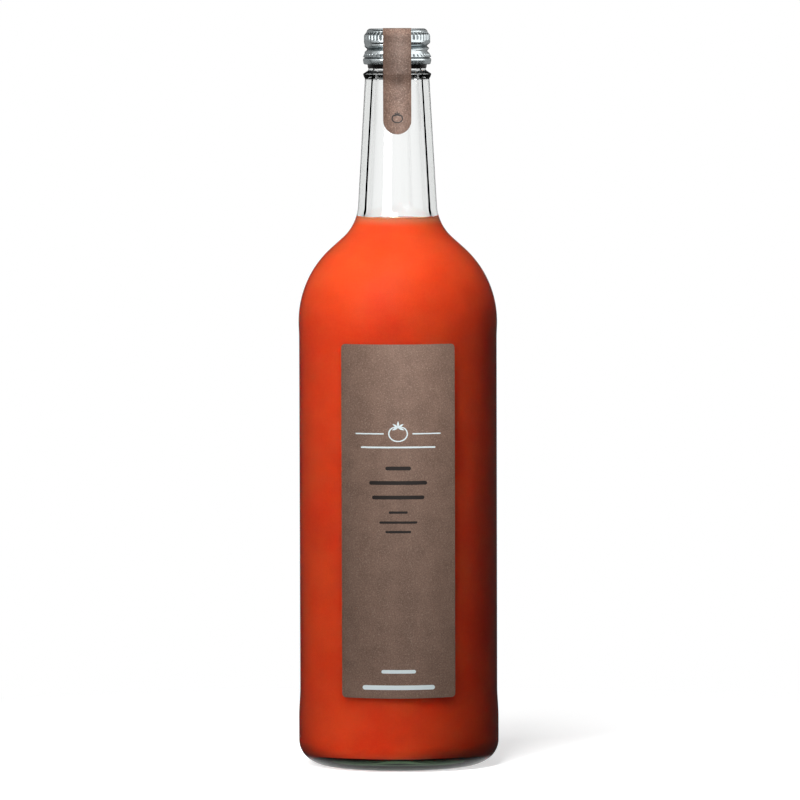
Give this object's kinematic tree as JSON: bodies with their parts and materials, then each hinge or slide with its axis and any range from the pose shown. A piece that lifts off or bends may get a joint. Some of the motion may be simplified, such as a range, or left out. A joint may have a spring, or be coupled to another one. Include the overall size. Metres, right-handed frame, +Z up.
{
  "type": "tomato juice bottle",
  "caption": "Clear round glass bottle of red tomato juice with a long tapered neck, an aluminium screw cap, a paper seal strip over the cap and a tall paper label.",
  "frame": {"origin": "centre of the ring on which the bottle stands", "axes": "+Z up along the bottle's axis, the label faces -Y, +X is to the right when the label is seen from the front"},
  "size_m": [0.0848, 0.0848, 0.3122],
  "materials": {
    "bottle_glass": "clear flint glass, glossy",
    "tomato_juice": "opaque smooth tomato juice behind glass",
    "cap_aluminium": "bare satin aluminium with a clear lacquer",
    "seal_paper": "taupe paper with a fine pearl speckle",
    "label_paper": "taupe paper with a fine pearl speckle and pale and dark print fields"
  },
  "bodies": {
    "root": {"glass": "bottle_glass", "juice": "tomato_juice", "cap": "cap_aluminium", "seal_strip": "seal_paper", "front_label": "label_paper"}
  },
  "joints": []
}
